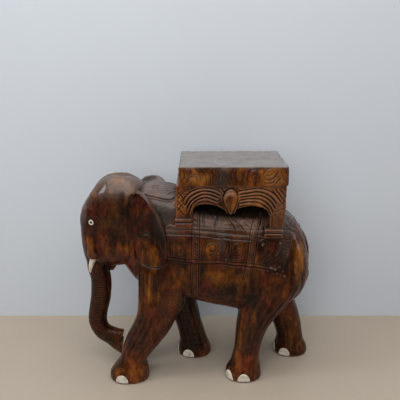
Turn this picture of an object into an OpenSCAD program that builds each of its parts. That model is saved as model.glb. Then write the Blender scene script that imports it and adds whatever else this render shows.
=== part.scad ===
// Carved wooden elephant carrying a stool seat: a walking elephant with inlaid tusks, eyes and toenails,
// a saddle blanket carved in relief, an arcaded stand on its back and a thick seat board on the stand.
// Millimetres. +Z is up, the head points to -X and the elephant's left side is -Y.
// The origin is on the floor at the middle of the footprint.

/* [Seat board] */
// Length of the seat board along the elephant
seat_length = 260; // [240:1:270]
// Width of the seat board across the elephant
seat_width = 204; // [198:1:208]
// Thickness of the seat board
seat_thick = 46; // [36:1:48]
// Height of the seat board's top above the floor
seat_top = 580; // [578:1:586]
// How far the middle of the seat board lies behind the origin
seat_x = 79; // [76:1:82]

/* [Stand] */
// Thickness of the stand's two arcaded walls
wall_thick = 26; // [24:1:30]
// Overall width of the stand across its walls
stand_width = 196; // [190:1:200]
// Front face of the stand
stand_front = -57; // [-60:1:-54]
// Rear face of the stand
stand_rear = 205; // [202:1:208]
// Height of the stand's front feet above the floor
front_foot_z = 430; // [424:1:434]
// Height of the stand's rear feet above the floor
rear_foot_z = 403; // [398:1:408]

/* [Ears] */
// Thickness of each ear board
ear_thick = 13; // [10:1:16]
// Lean of the ears, with their tops inwards
ear_lean = 5; // [4:1:8]
// Turn of the ears, with their rear edges outwards
ear_turn = 12; // [10:1:12]

/* [Inlays] */
// Radius of a tusk where it leaves the cheek
tusk_r = 8.5; // [7:0.5:9.5]
// Length of a tusk outside the cheek
tusk_length = 38; // [30:1:42]
// Radius of a bone eye
eye_r = 7; // [5.5:0.1:7.5]
// Radius of a pupil pin
pupil_r = 3; // [2:0.1:3.4]
// Width of a toenail
nail_w = 33; // [26:1:34]
// Height of a toenail
nail_h = 22; // [17:1:24]
// Depth of a toenail's pocket in the foot
nail_deep = 6; // [4:0.5:8]

/* [Dowels] */
// Radius of the dowels under the stand and the seat
dowel_r = 5; // [4:0.5:6]
// Length of the dowels under the stand and the seat
dowel_length = 40; // [30:1:44]
// Radius of the ear pegs
peg_r = 4; // [3:0.5:5]
// Length of the ear pegs
peg_length = 22; // [18:1:26]

/* [Hidden] */
wood = "saddlebrown";
dark_wood = "#5a2d18";
bone = "ivory";
glue_gap = 0.1;
eps = 0.05;
round_fn = 48;
stand_top = seat_top - seat_thick;
stand_y = stand_width / 2;
wall_in = stand_y - wall_thick;

// Torso: distance along X, top, underside, half width, squareness of the upper half
torso = [[-205, 462, 312, 44, 2.6], [-170, 498, 262, 72, 3], [-130, 508, 236, 84, 3.2],
    [-92, 509, 221, 92, 3], [-54, 503, 211, 100, 3], [-16, 478, 203, 103, 3.4],
    [24, 468, 195, 103, 3.4], [66, 465, 185, 104, 3.3], [110, 462, 176, 104, 3.2],
    [160, 456, 173, 103, 3], [205, 449, 181, 98, 2.7], [238, 430, 196, 87, 2.5],
    [262, 396, 216, 70, 2.3], [276, 354, 244, 47, 2.1], [282, 322, 276, 22, 2]];

// Head: height, brow side, nape side, half width, how much narrower the brow is
head = [[300, -292, -228, 30, 0.3], [311, -300, -172, 48, 0.34], [327, -304, -146, 64, 0.34],
    [348, -307, -134, 75, 0.32], [378, -308.5, -124, 80, 0.3], [406, -308.5, -120, 81, 0.28],
    [435, -307, -122, 79, 0.26], [460, -298, -126, 75, 0.24], [482, -286, -132, 69, 0.2],
    [503, -272, -140, 60, 0.16], [521, -257, -154, 46, 0.1], [534, -239, -174, 29, 0.05],
    [539.5, -222, -192, 13, 0]];

// Trunk: middle line in X and Z, radius in the plane of the trunk, half width across it, and how far its
// direction turns from straight down towards the rear
trunk = [[-256, 334, 44, 42, 0], [-268, 290, 30, 33, -4], [-264.5, 262, 27, 28, 3], [-264, 236, 27, 26, 0],
    [-268, 200, 27, 25, -12], [-276, 160, 25, 24, -10], [-279, 126, 25, 23, 4], [-266, 98, 24, 22, 50],
    [-244, 83, 26.5, 21, 55], [-229, 73, 31, 20.5, 68], [-213.5, 65.5, 37, 20, 84]];

// Tail, lying on the rump from the crupper to its tuft: as for the trunk
tail = [[252, 408, 9, 9, 30], [266, 384, 8.5, 8.5, 24], [275, 358, 8, 8, 15], [281, 330, 7.5, 7, 8],
    [283, 300, 7, 7, 1], [282, 272, 8, 8, -7], [277, 250, 8, 9, -17], [271, 238, 3, 4, -27]];

// Legs: height, middle in X, distance of the middle from the centre plane, half length, half width
front_left = [[0, -187, 65.5, 48, 39.5], [5, -187, 66, 51.5, 41.5], [20, -187, 66, 51, 41.5],
    [36, -183, 65.5, 44, 38], [54, -177, 64, 35.5, 33], [90, -158, 62, 45, 36], [130, -135, 60, 52, 40],
    [173, -113, 57, 53, 43], [215, -99, 55, 61, 46], [262, -97, 54, 62, 48], [305, -98, 53, 61, 50],
    [350, -104, 50, 48, 44]];
front_right = [[0, -16, 59, 44, 39.5], [5, -16, 59.5, 47, 41.5], [18, -16, 59.5, 46.5, 41.5],
    [32, -17, 59, 42, 38], [50, -20, 59, 38, 33], [90, -30, 59, 36.5, 35], [135, -42, 58.5, 38, 39],
    [175, -54, 57, 42, 43], [215, -68, 55, 50, 46], [262, -84, 54, 58, 48], [305, -96, 53, 61, 50],
    [350, -104, 50, 48, 44]];
hind_left = [[0, 116, 58, 44, 39.5], [5, 116, 58.5, 47.5, 41.5], [20, 116, 58.5, 46.5, 41.5],
    [37, 120, 58.5, 40, 37], [60, 122, 58.5, 35, 33], [100, 127, 58.5, 35, 35], [140, 135, 57.5, 40, 39],
    [170, 146, 56, 48, 43], [210, 164, 54, 62, 47], [255, 184, 53, 72, 49], [300, 194, 51, 70, 48],
    [345, 196, 46, 56, 42]];
hind_right = [[0, 261, 65, 44, 39.5], [5, 261, 65.5, 47, 41.5], [20, 261, 65.5, 46, 41.5],
    [36, 259, 65, 40, 37], [56, 257, 64, 37, 33], [95, 247, 62, 40, 35], [135, 234, 59, 43, 39],
    [170, 219, 56, 46, 43], [210, 204, 54, 56, 47], [255, 196, 53, 66, 49], [300, 196, 51, 68, 48],
    [345, 196, 46, 56, 42]];

// Toenails: leg, side, and the turns of the three nails from straight ahead towards the left
nail_turns = [[front_left, -1, [67, -22, -74]], [front_right, 1, [-56, 4, 66]],
    [hind_left, -1, [88, 29, -32]], [hind_right, 1, [-62, -2, 58]]];
nail_z = 3.5;
nail_proud = 0.9;

// Ear outlines in X and Z, from the top of the root round the rear edge: the right ear is fuller at the top
left_ear = [[-157, 520], [-137, 509], [-112, 484], [-90, 447], [-77, 396], [-77, 352], [-82, 334], [-98, 327],
    [-130, 329], [-160, 336]];
right_ear = [[-157, 504], [-145, 514], [-126, 517], [-107, 513], [-90, 498], [-76, 468], [-71, 420],
    [-74, 352], [-82, 334], [-98, 327], [-130, 329], [-160, 336]];
ear_front = [[-164, 380], [-166, 430], [-165, 480]];
ear_pivot = [-160, 380];
ear_y = 66;
ear_rim = 1.5;
rim_width = [-7, 3];
ear_peg_at = [[-126, 372], [-126, 446]];
peg_out = 8;

// Arch outline of a side panel, from the front leg's foot over both arches to the rear leg's foot
arch = [[-18, 462], [-16, 476], [-6, 485], [12, 488], [32, 486], [50, 479], [62, 471], [73, 462], [84, 471],
    [96, 479], [114, 483], [132, 483], [150, 479], [162, 470], [168, 456]];
front_crown = 514;
rear_crown = 492;
crown_step = -16;
arch_spring = 455;
leg_front_in = -18;
leg_rear_in = 168;
rear_taper = [6, 478];

// Leaf boss between the arches: middle in X and Z, half width, reach above and below its middle, thickness
boss_at = [73, 493];
boss_half = 17;
boss_up = 22;
boss_down = 29;
boss_deep = 8;
boss_proud = 4;

// Where the four legs of the stand rest: middle in X, height, length of the foot
front_foot = [-41.5, front_foot_z, 37];
rear_foot = [178, rear_foot_z, 44];
foot_depth = 32;
foot_proud = 3;
foot_base = 11;
foot_groove = 2;
foot_mould = 9;

// Lower lip behind the trunk, from its root to its tip
lip_root = [-228, 0, 305];
lip_tip = [-233, 0, 282];
lip_r = [13, 6];
// Notch between the trunk's upper and lower fingers: its bottom, its mouth and their radii
notch_bottom = [-214, 78];
notch_mouth = [-198, 73];
notch_r = [6, 13];

tusk_at = [-273, -44, 327];
tusk_root = 20;
tusk_mouth = 8;
tusk_aim = [-7, -6, -38];
// Fold of the cheek that each tusk comes out of, from its top to its mouth
sheath_top = [-270, -38, 384];
sheath_mouth = [-272, -42, 342];
sheath_r = [13, 15.5];

eye_at = [-271, 428];
eye_aim = [-0.3, -0.95, 0.05];
eye_pocket = 5;
eye_dome = 1;
pupil_pocket = 3.5;
pupil_long = 5.6;

function power(v, e) = sign(v) * pow(abs(v), 2 / e);
function blend(a, b, c, d, t) = 0.5 * (2 * b + (c - a) * t + (2 * a - 5 * b + 4 * c - d) * t * t
    + (3 * b - a - 3 * c + d) * t * t * t);
function at(rows, i) = rows[max(0, min(len(rows) - 1, i))];
function smooth(rows, n) = [for (k = [0 : (len(rows) - 1) * n]) let (i = floor(k / n), t = k / n - i)
    blend(at(rows, i - 1), at(rows, i), at(rows, i + 1), at(rows, i + 2), t)];
function unit(v) = v / norm(v);
// A row of the head's table at any height, between its neighbours
function head_row(z) = let (above = [for (i = [1 : len(head) - 1]) if (head[i][0] > z) i][0],
    low = head[above - 1], high = head[above]) low + (high - low) * (z - low[0]) / (high[0] - low[0]);

function torso_ring(s, n = 32) = [for (k = [0 : n - 1]) let (a = 360 * k / n, mid = (s[1] + s[2]) / 2,
    e = sin(a) > 0 ? s[4] : 2.3) [s[0], s[3] * power(cos(a), e), mid + (s[1] - mid) * power(sin(a), e)]];
function head_ring(s, n = 32) = [for (k = [0 : n - 1])
    let (a = 360 * k / n, e = cos(a) > 0 ? 3.4 : 2.4, back = power(cos(a), e))
    [(s[1] + s[2] + (s[2] - s[1]) * back) / 2, s[3] * power(sin(a), e) * (1 - s[4] * (1 - back) / 2), s[0]]];
function leg_ring(s, side, grow = 0, n = 20) = [for (k = [0 : n - 1]) let (a = 360 * k / n)
    [s[1] + (s[3] + grow) * power(cos(a), 2.3), side * s[2] + (s[4] + grow) * power(sin(a), 2.3), s[0]]];
function limb_ring(s, n) = [for (k = [0 : n - 1]) let (a = 360 * k / n, reach = s[2] * cos(a))
    [s[0] - reach * cos(s[4]), s[3] * sin(a), s[1] - reach * sin(s[4])]];

// A closed solid through rings that each have the same number of points
module loft(rings) {
    n = len(rings[0]);
    last = (len(rings) - 1) * n;
    polyhedron(points = [for (r = rings) each r], faces = concat(
        [[for (k = [0 : n - 1]) k]],
        [[for (k = [n - 1 : -1 : 0]) last + k]],
        [for (r = [0 : n : last - n], k = [0 : n - 1])
            let (a = r + k, b = r + (k + 1) % n) [a, a + n, b + n]],
        [for (r = [0 : n : last - n], k = [0 : n - 1])
            let (a = r + k, b = r + (k + 1) % n) [a, b + n, b]]));
}

module torso_form() loft([for (s = smooth(torso, 3)) torso_ring(s)]);
module head_form() loft([for (s = smooth(head, 2)) head_ring(s)]);
module leg_form(leg, side) loft([for (s = smooth(leg, 2)) leg_ring(s, side)]);
// A limb that bends in the centre plane: the trunk and the tail
module bent_form(rows, n) loft([for (s = rows) limb_ring(s, n)]);

// A rounded fold between two places
module fold(from, to, r) hull() {
    translate(from) sphere(r[0], $fn = 24);
    translate(to) sphere(r[1], $fn = 24);
}

module trunk_notch() rotate([90, 0, 0]) linear_extrude(60, center = true) hull() {
    translate(notch_bottom) circle(notch_r[0], $fn = 24);
    translate(notch_mouth) circle(notch_r[1], $fn = 24);
}

// Places a shape drawn in X and Z, with its thickness along its own outward axis, on the left ear's plane
module on_left_ear() translate([ear_pivot[0], -ear_y, ear_pivot[1]]) rotate([ear_lean, 0, -ear_turn])
    translate([-ear_pivot[0], 0, -ear_pivot[1]]) rotate([90, 0, 0]) children();
module ear_shape(rear) polygon(concat(smooth(rear, 5), ear_front));
module ear_seat(rear) on_left_ear() linear_extrude(60) ear_shape(rear);
// The ear board, with a raised rim along its rear and lower edges
module ear_board(rear) on_left_ear() {
    linear_extrude(ear_thick) ear_shape(rear);
    linear_extrude(ear_thick + ear_rim) difference() {
        ear_shape(rear);
        translate(rim_width) ear_shape(rear);
    }
}
module ear_peg(r) for (p = ear_peg_at) on_left_ear() translate([p[0], p[1], peg_out - peg_length])
    cylinder(r = r, h = peg_length, $fn = round_fn);

// Turns +Z onto a direction
module aim(v) rotate([0, acos(unit(v)[2]), atan2(v[1], v[0])]) children();
// A hole that clears a true round peg even when it is cut as flats
function bore_r(r) = (r + glue_gap) / cos(180 / round_fn);

module eye_place() translate([eye_at[0], -eye_surface(), eye_at[1]]) aim(eye_aim) children();
function eye_surface() = let (s = head_row(eye_at[1]), mid = (s[1] + s[2]) / 2, half = (s[2] - s[1]) / 2,
    ahead = (mid - eye_at[0]) / half) s[3] * pow(1 - pow(ahead, 2.4), 1 / 2.4) * (1 - s[4] * (1 + ahead) / 2);

function nail_reach(leg, turn) = let (a = leg[1][3], b = leg[1][4])
    1 / pow(pow(abs(cos(turn)) / a, 2.3) + pow(abs(sin(turn)) / b, 2.3), 1 / 2.3);
module nail_prism(leg, side, turn) translate([leg[1][1], side * leg[1][2], nail_z]) rotate([90, 0, turn - 90])
    translate([0, 0, nail_reach(leg, turn) - nail_deep]) linear_extrude(30)
        polygon([for (k = [0 : 16]) [nail_w / 2 * cos(180 * k / 16), nail_h * sin(180 * k / 16)]]);
module toenail(foot, which) color(bone) intersection() {
    leg = nail_turns[foot][0];
    side = nail_turns[foot][1];
    loft([for (i = [0 : 3]) leg_ring(leg[i], side, nail_proud)]);
    nail_prism(leg, side, nail_turns[foot][2][which]);
}

module dowel_at(f, z, r) translate([f[0], -(stand_y - wall_thick / 2), z - dowel_length / 2])
    cylinder(r = r, h = dowel_length, $fn = round_fn);

module on_right() mirror([0, 1, 0]) children();
module both_sides() {
    children();
    on_right() children();
}

module body() color(wood) difference() {
    union() {
        torso_form();
        head_form();
        bent_form(smooth(trunk, 3), 20);
        bent_form(smooth(tail, 2), 12);
        fold(lip_root, lip_tip, lip_r);
        both_sides() fold(sheath_top, sheath_mouth, sheath_r);
        leg_form(front_left, -1);
        leg_form(front_right, 1);
        leg_form(hind_left, -1);
        leg_form(hind_right, 1);
    }
    trunk_notch();
    stand_block();
    ear_seat(left_ear);
    on_right() ear_seat(right_ear);
    both_sides() {
        ear_peg(bore_r(peg_r));
        tusk_place() translate([0, 0, -tusk_root])
            cylinder(r = bore_r(tusk_r), h = tusk_root + tusk_mouth, $fn = round_fn);
        eye_place() translate([0, 0, -eye_pocket])
            cylinder(r = bore_r(eye_r), h = 2 * eye_pocket, $fn = round_fn);
        for (f = [front_foot, rear_foot]) dowel_at(f, f[1], bore_r(dowel_r));
    }
    for (foot = nail_turns, turn = foot[2]) nail_prism(foot[0], foot[1], turn);
}

module ear(rear) color(wood) difference() {
    ear_board(rear);
    ear_peg(peg_r + glue_gap);
}
module ear_left() ear(left_ear);
module ear_right() on_right() ear(right_ear);
module ear_pegs() color(dark_wood) both_sides() ear_peg(peg_r);

// A pointed tusk on a round root
module tusk_place() translate(tusk_at) aim(tusk_aim) children();
module tusk_left() color(bone) tusk_place() rotate_extrude($fn = round_fn) polygon(concat(
    [[0, -tusk_root], [tusk_r, -tusk_root]],
    [for (k = [0 : 8]) let (u = k / 8) [tusk_r * pow(1 - u, 0.62) * (1 - 0.12 * u), tusk_length * u]]));
module tusk_right() on_right() tusk_left();

module eye_left() color(bone) eye_place() difference() {
    translate([0, 0, -eye_pocket + eps]) cylinder(r = eye_r, h = eye_pocket + eye_dome - eps, $fn = round_fn);
    translate([0, 0, -pupil_pocket]) cylinder(r = pupil_r + glue_gap / 2, h = 2 * eye_pocket, $fn = round_fn);
}
module eye_right() on_right() eye_left();
// A pin with a chamfered head
module pupil_left() color("black") eye_place() translate([0, 0, -pupil_pocket]) rotate_extrude($fn = round_fn)
    polygon([[0, 0], [pupil_r, 0], [pupil_r, pupil_long - 1], [pupil_r * 0.7, pupil_long], [0, pupil_long]]);
module pupil_right() on_right() pupil_left();

module side_outline() polygon(concat(
    [[stand_front, stand_top], [stand_front, front_foot_z], [leg_front_in, front_foot_z]],
    smooth(arch, 4),
    [[leg_rear_in, rear_foot_z], [stand_rear - rear_taper[0], rear_foot_z], [stand_rear, rear_taper[1]],
        [stand_rear, stand_top]]));
// One stepped foot of the stand: a base, a groove and a moulding
module stand_foot(f) translate([f[0] - f[2] / 2, -stand_y - foot_proud, f[1]]) {
    cube([f[2], foot_depth, foot_base]);
    translate([1, 2, foot_base]) cube([f[2] - 2, foot_depth - 2, foot_groove]);
    translate([0, 0, foot_base + foot_groove]) cube([f[2], foot_depth, foot_mould]);
}
// The boss between the two arches, longer below its middle than above
module boss() translate([boss_at[0], -stand_y - boss_proud, boss_at[1]]) rotate([90, 0, 180])
    linear_extrude(boss_deep) polygon([for (k = [0 : 24]) let (a = 360 * k / 24)
        [boss_half * cos(a), (sin(a) > 0 ? boss_up : boss_down) * sin(a)]]);
// The hollow that runs under the stand from end to end: its crown is highest at the front, over the neck
module hollow(from, to, crown) translate([from, 0, 0]) rotate([90, 0, 90]) linear_extrude(to - from)
    polygon(concat([[-wall_in, rear_foot_z - 1]],
        [for (k = [0 : 24]) let (a = 180 - 180 * k / 24)
            [wall_in * power(cos(a), 3), arch_spring + (crown - arch_spring) * power(sin(a), 3)]],
        [[wall_in, rear_foot_z - 1]]));

// The stand without its dowel holes, which is also the print that its legs leave in the elephant's back
module stand_block() difference() {
    union() {
        translate([0, stand_y, 0]) rotate([90, 0, 0]) linear_extrude(stand_width) side_outline();
        both_sides() {
            stand_foot(front_foot);
            stand_foot(rear_foot);
            boss();
        }
    }
    hollow(stand_front - 1, crown_step, front_crown);
    hollow(crown_step - 1, stand_rear + 1, rear_crown);
}
module stand() color(wood) difference() {
    stand_block();
    both_sides() for (f = [front_foot, rear_foot]) {
        dowel_at(f, f[1], dowel_r + glue_gap);
        dowel_at(f, stand_top, dowel_r + glue_gap);
    }
}

// The seat board, with corners cut back a little
module seat_board() color(wood) difference() {
    translate([seat_x - seat_length / 2, -seat_width / 2, stand_top]) linear_extrude(seat_thick)
        polygon([[3, 0], [seat_length - 4, 0], [seat_length, 4], [seat_length, seat_width - 8],
            [seat_length - 6, seat_width], [3, seat_width], [0, seat_width - 3], [0, 3]]);
    both_sides() for (f = [front_foot, rear_foot]) dowel_at(f, stand_top, dowel_r + glue_gap);
}

module stand_dowels() color(dark_wood) both_sides() {
    dowel_at(front_foot, front_foot_z, dowel_r);
    dowel_at(rear_foot, rear_foot_z, dowel_r);
}
module seat_dowels() color(dark_wood) both_sides() {
    dowel_at(front_foot, stand_top, dowel_r);
    dowel_at(rear_foot, stand_top, dowel_r);
}

body();
ear_left();
ear_right();
ear_pegs();
tusk_left();
tusk_right();
eye_left();
eye_right();
pupil_left();
pupil_right();
stand();
seat_board();
stand_dowels();
seat_dowels();
toenail(0, 0);  // toenail_front_left_outer
toenail(0, 1);  // toenail_front_left_middle
toenail(0, 2);  // toenail_front_left_inner
toenail(1, 0);  // toenail_front_right_outer
toenail(1, 1);  // toenail_front_right_middle
toenail(1, 2);  // toenail_front_right_inner
toenail(2, 0);  // toenail_hind_left_outer
toenail(2, 1);  // toenail_hind_left_middle
toenail(2, 2);  // toenail_hind_left_inner
toenail(3, 0);  // toenail_hind_right_outer
toenail(3, 1);  // toenail_hind_right_middle
toenail(3, 2);  // toenail_hind_right_inner
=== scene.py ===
import math

import bmesh
import bpy
import numpy as np
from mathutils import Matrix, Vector
from mathutils.bvhtree import BVHTree


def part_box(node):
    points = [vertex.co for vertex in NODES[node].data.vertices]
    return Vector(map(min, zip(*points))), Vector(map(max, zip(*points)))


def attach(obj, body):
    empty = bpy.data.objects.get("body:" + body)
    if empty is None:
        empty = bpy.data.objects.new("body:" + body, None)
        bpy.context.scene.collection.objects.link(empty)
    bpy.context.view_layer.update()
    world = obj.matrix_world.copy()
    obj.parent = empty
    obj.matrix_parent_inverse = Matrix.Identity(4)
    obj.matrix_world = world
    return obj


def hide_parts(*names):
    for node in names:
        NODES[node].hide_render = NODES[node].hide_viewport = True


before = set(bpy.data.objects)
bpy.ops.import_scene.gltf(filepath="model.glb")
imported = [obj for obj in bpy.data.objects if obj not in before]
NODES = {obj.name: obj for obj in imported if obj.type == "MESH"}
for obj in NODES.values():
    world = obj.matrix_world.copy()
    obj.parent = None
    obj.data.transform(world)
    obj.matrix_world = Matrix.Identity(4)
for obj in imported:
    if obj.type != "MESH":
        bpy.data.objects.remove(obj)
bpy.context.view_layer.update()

MM = 0.001
# Sizes, in metres, of the blocks that each piece's surface is rebuilt from
BODY_VOXEL = 0.0022
EAR_VOXEL = 0.0014
STAND_VOXEL = 0.0013
SEAT_VOXEL = 0.0015
BONE_VOXEL = 0.0009
EYE_VOXEL = 0.0005
NAILS = sorted(name for name in NODES if name.startswith("toenail_"))
# How wear and painted highlight on edges, and dirt and painted shade in hollows, are measured: rounds of
# averaging, the bulge in millimetres of full wear, and how much of a hollow's dirt and shade comes from its
# depth
WEAR_PASSES = 5
WEAR_DEPTH = 0.55
DIRT_AND_SHADE_SHARE = 0.8


# -------- numbers and curves


def smoothstep(lo, hi, x):
    t = np.clip((x - lo) / (hi - lo), 0.0, 1.0)
    return t * t * (3.0 - 2.0 * t)


def spline(points, per_span=6, closed=False):
    """A smooth curve through a few drawn points."""
    p = np.array(points, float)
    n = len(p)
    spans = n if closed else n - 1
    out = []
    for i in range(spans):
        if closed:
            a, b, c, d = p[(i - 1) % n], p[i], p[(i + 1) % n], p[(i + 2) % n]
        else:
            a, b, c, d = p[max(i - 1, 0)], p[i], p[i + 1], p[min(i + 2, n - 1)]
        for t in np.arange(per_span) / per_span:
            square = (2 * a - 5 * b + 4 * c - d) * t**2
            cube = (3 * b - a - 3 * c + d) * t**3
            out.append(0.5 * (2 * b + (c - a) * t + square + cube))
    out.append(out[0] if closed else p[-1])
    return np.array(out)


def oval(centre, half_wide, half_high, points=8):
    """Points round an oval."""
    turns = np.arange(points) * 2 * math.pi / points
    return [(centre[0] + half_wide * math.cos(t), centre[1] + half_high * math.sin(t)) for t in turns]


def line_distance(u, v, path):
    """Distance of each point (u, v) from a path, and how far along the path the nearest place is."""
    best = np.full(len(u), 1e9)
    along = np.zeros(len(u))
    run = 0.0
    for a, b in zip(path[:-1], path[1:]):
        d = b - a
        length = float(np.hypot(*d))
        if length < 1e-9:
            continue
        t = np.clip(((u - a[0]) * d[0] + (v - a[1]) * d[1]) / length**2, 0.0, 1.0)
        dist = np.hypot(u - a[0] - t * d[0], v - a[1] - t * d[1])
        near = dist < best
        best[near] = dist[near]
        along[near] = run + t[near] * length
        run += length
    return best, along


def inside(u, v, path):
    """Whether each point (u, v) lies inside a closed path."""
    within = np.zeros(len(u), bool)
    for a, b in zip(path, np.roll(path, -1, axis=0)):
        if a[1] == b[1]:
            continue
        crosses = (a[1] > v) != (b[1] > v)
        within ^= crosses & (u < (b[0] - a[0]) * (v - a[1]) / (b[1] - a[1]) + a[0])
    return within


def waves(p, size, seed, octaves=5):
    """Smooth unevenness between about -1 and 1, with lumps of about the given size."""
    rng = np.random.default_rng(seed)
    total = np.zeros(len(p))
    for _ in range(octaves):
        axis = rng.normal(size=3)
        axis /= np.linalg.norm(axis)
        pitch = size * rng.uniform(0.8, 1.7)
        start = rng.uniform(0, 2 * math.pi)
        bend = 1.3 * np.sin(p @ np.roll(axis, 1) / pitch * 2.9)
        total += np.sin(p @ axis * (2 * math.pi / pitch) + start + bend)
    return total / octaves * 1.4


# -------- meshes


def placed(name, data):
    """A new object in the scene."""
    obj = bpy.data.objects.new(name, data)
    bpy.context.collection.objects.link(obj)
    return obj


def mesh_from(verts, faces, name):
    mesh = bpy.data.meshes.new(name)
    mesh.from_pydata([tuple(v) for v in verts], [], [tuple(f) for f in faces])
    mesh.update()
    return placed(name, mesh)


def node_copy(name, nodes):
    """One new object holding copies of these CAD nodes' surfaces."""
    verts, faces = [], []
    for node in nodes:
        mesh = NODES[node].data
        first = len(verts)
        verts += [tuple(v.co) for v in mesh.vertices]
        faces += [[first + i for i in poly.vertices] for poly in mesh.polygons]
    return mesh_from(verts, faces, name)


def settled(obj):
    """Bakes an object's modifiers into its mesh."""
    graph = bpy.context.evaluated_depsgraph_get()
    mesh = bpy.data.meshes.new_from_object(obj.evaluated_get(graph), depsgraph=graph)
    obj.modifiers.clear()
    old = obj.data
    obj.data = mesh
    bpy.data.meshes.remove(old)
    return obj


def remeshed(obj, voxel):
    block = obj.modifiers.new("voxels", "REMESH")
    block.mode = "VOXEL"
    block.voxel_size = voxel
    return settled(obj)


def read_rows(collection, key, width, kind=float):
    flat = np.empty(len(collection) * width, kind)
    collection.foreach_get(key, flat)
    return flat.reshape(-1, width)


def get_verts(obj):
    return read_rows(obj.data.vertices, "co", 3)


def get_normals(obj):
    return read_rows(obj.data.vertex_normals, "vector", 3)


def get_edges(obj):
    return read_rows(obj.data.edges, "vertices", 2, int)


def set_verts(obj, verts):
    obj.data.vertices.foreach_set("co", np.ascontiguousarray(verts).ravel())
    obj.data.update()


def neighbour_count(edges, points):
    """How many neighbours each point has, counted as one where it has none."""
    return np.maximum(np.bincount(edges.ravel(), minlength=points), 1).astype(float)


def neighbour_mean(values, edges, count):
    """The mean of each point's neighbours, for values with a row for each point."""
    a, b = edges[:, 0], edges[:, 1]
    n = len(count)
    columns = [np.bincount(a, row[b], n) + np.bincount(b, row[a], n) for row in values.T]
    return np.stack(columns, axis=1) / count[:, None]


# How much harder each second round of softening pushes back, which keeps the volume
VOLUME_PUSH = 0.02


def softened(obj, passes, strength=0.5, keep_volume=True, weight=None):
    """Rounds creases by moving each point towards its neighbours."""
    p = get_verts(obj)
    edges = get_edges(obj)
    count = neighbour_count(edges, len(p))
    w = np.ones((len(p), 1)) if weight is None else weight[:, None]
    for _ in range(passes):
        p += strength * w * (neighbour_mean(p, edges, count) - p)
        if keep_volume:
            p -= (strength + VOLUME_PUSH) * w * (neighbour_mean(p, edges, count) - p)
    set_verts(obj, p)


def subdivided(obj, chosen):
    """Splits the faces whose corners are all among the chosen points into four."""
    bm = bmesh.new()
    bm.from_mesh(obj.data)
    bm.verts.ensure_lookup_table()
    flags = chosen.tolist()
    edges = [e for e in bm.edges if flags[e.verts[0].index] and flags[e.verts[1].index]]
    bmesh.ops.subdivide_edges(bm, edges=edges, cuts=1, use_grid_fill=True)
    bm.to_mesh(obj.data)
    bm.free()
    obj.data.update()


def add_values(obj, name, values):
    layer = obj.data.attributes.new(name, "FLOAT", "POINT")
    layer.data.foreach_set("value", np.asarray(values, np.float32))


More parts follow.
